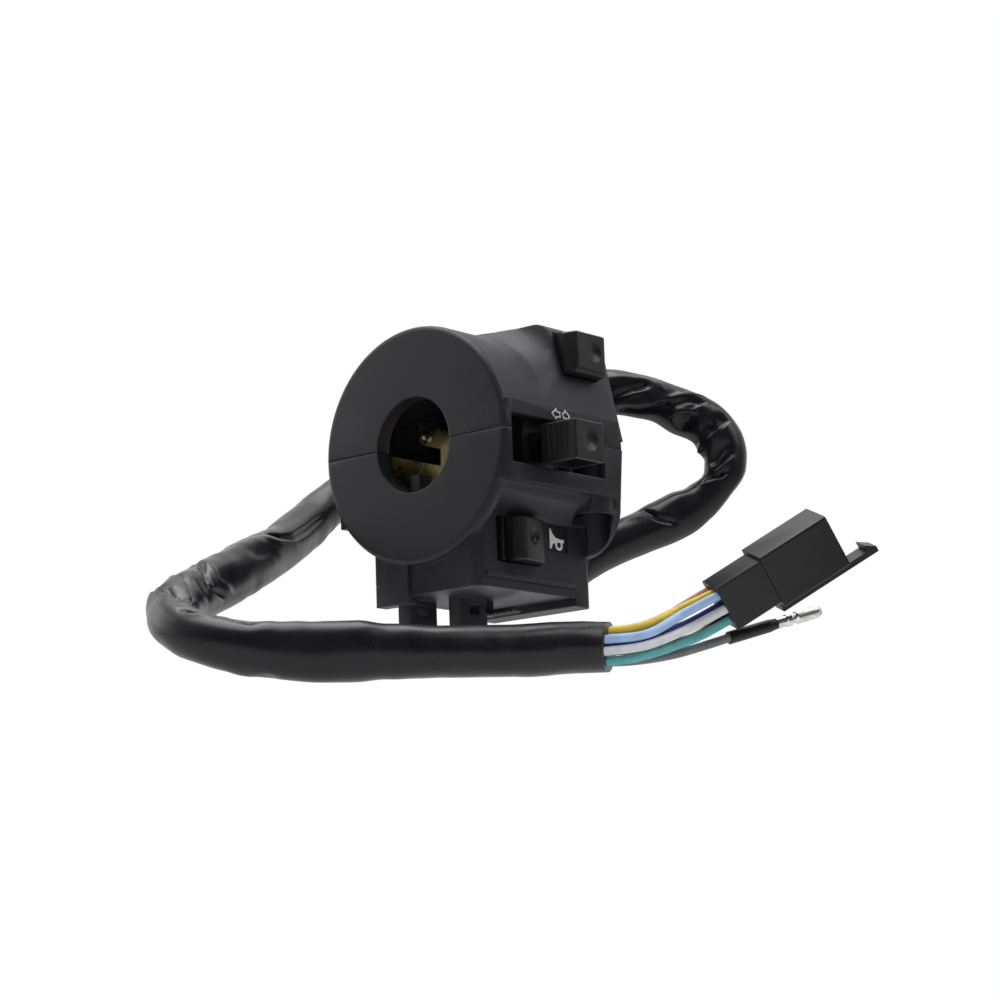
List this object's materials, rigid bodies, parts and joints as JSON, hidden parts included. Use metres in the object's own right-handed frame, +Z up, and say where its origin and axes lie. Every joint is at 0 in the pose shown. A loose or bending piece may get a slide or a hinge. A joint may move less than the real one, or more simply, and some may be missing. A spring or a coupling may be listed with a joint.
{
  "type": "handlebar switch cluster",
  "caption": "Left-hand motorcycle handlebar switch: split round housing on the bar with sliding turn, dip and horn controls and a sleeved lead to a connector.",
  "frame": {"origin": "on the handlebar axis at the grip-side face of the housing", "axes": "+Y along the handlebar away from the grip, +X towards the rider and the controls, +Z up"},
  "size_m": [0.1414, 0.1625, 0.0893],
  "materials": {
    "housing_plastic": "satin fine grain",
    "control_plastic": "satin",
    "switch_plastic": "satin",
    "board": "matt laminate",
    "plated_steel": "yellow zinc plated",
    "screw_steel": "zinc plated",
    "spring_steel": "bright",
    "contact_brass": "bright",
    "sleeve_vinyl": "soft gloss",
    "strap_nylon": "satin",
    "connector_nylon": "satin",
    "boot_vinyl": "satin",
    "bullet_tin": "tin plated",
    "yellow_insulation": "soft gloss",
    "light_blue_insulation": "soft gloss",
    "white_insulation": "soft gloss",
    "teal_insulation": "soft gloss",
    "dark_blue_insulation": "soft gloss",
    "brown_insulation": "soft gloss",
    "black_insulation": "soft gloss",
    "grey_insulation": "soft gloss"
  },
  "bodies": {
    "housing": {"upper_shell": "housing_plastic", "lower_shell": "housing_plastic", "bottom_cover": "housing_plastic", "clamp_screws": "screw_steel", "bar_saddle": "plated_steel", "earth_tab": "plated_steel", "earth_rivet": "screw_steel", "turn_board": "board", "turn_rails": "contact_brass", "turn_bracket": "plated_steel", "dip_spring": "spring_steel", "dip_block": "board", "dip_contacts": "contact_brass", "horn_spring": "spring_steel", "horn_base": "board", "horn_contact": "contact_brass", "horn_plate": "control_plastic", "cable_grommet": "sleeve_vinyl", "cable_clip": "plated_steel", "clip_screw": "screw_steel", "tie_strap": "strap_nylon", "harness_sleeve": "sleeve_vinyl", "wire_yellow": "yellow_insulation", "wire_light_blue": "light_blue_insulation", "wire_white": "white_insulation", "wire_teal": "teal_insulation", "wire_dark_blue": "dark_blue_insulation", "wire_brown": "brown_insulation", "wire_black": "black_insulation", "wire_grey": "grey_insulation", "connector_housing": "connector_nylon", "connector_terminals": "contact_brass", "bullet_terminal": "bullet_tin", "bullet_boot": "boot_vinyl"},
    "turn_slider": {"turn_knob": "control_plastic", "turn_carriage": "control_plastic", "turn_wiper": "contact_brass", "turn_detent_ball": "spring_steel", "turn_detent_spring": "spring_steel"},
    "dip_push": {"dip_button": "control_plastic", "dip_stem": "switch_plastic", "dip_bridge": "contact_brass"},
    "horn_push": {"horn_button": "control_plastic", "horn_leaf": "contact_brass"}
  },
  "joints": [
    {"name": "turn_slide", "type": "slide", "parent": "housing", "child": "turn_slider", "axis": [0, 1, 0], "range_m": [-0.0075, 0.0075]},
    {"name": "dip_press", "type": "slide", "parent": "housing", "child": "dip_push", "axis": [-1, 0, 0], "range_m": [0, 0.0022], "stiffness_N_per_m": 600, "springref_m": -0.0015, "deforming": ["dip_spring"]},
    {"name": "horn_press", "type": "slide", "parent": "housing", "child": "horn_push", "axis": [-1, 0, 0], "range_m": [0, 0.0022], "stiffness_N_per_m": 700, "springref_m": -0.0015, "deforming": ["horn_spring"]}
  ]
}
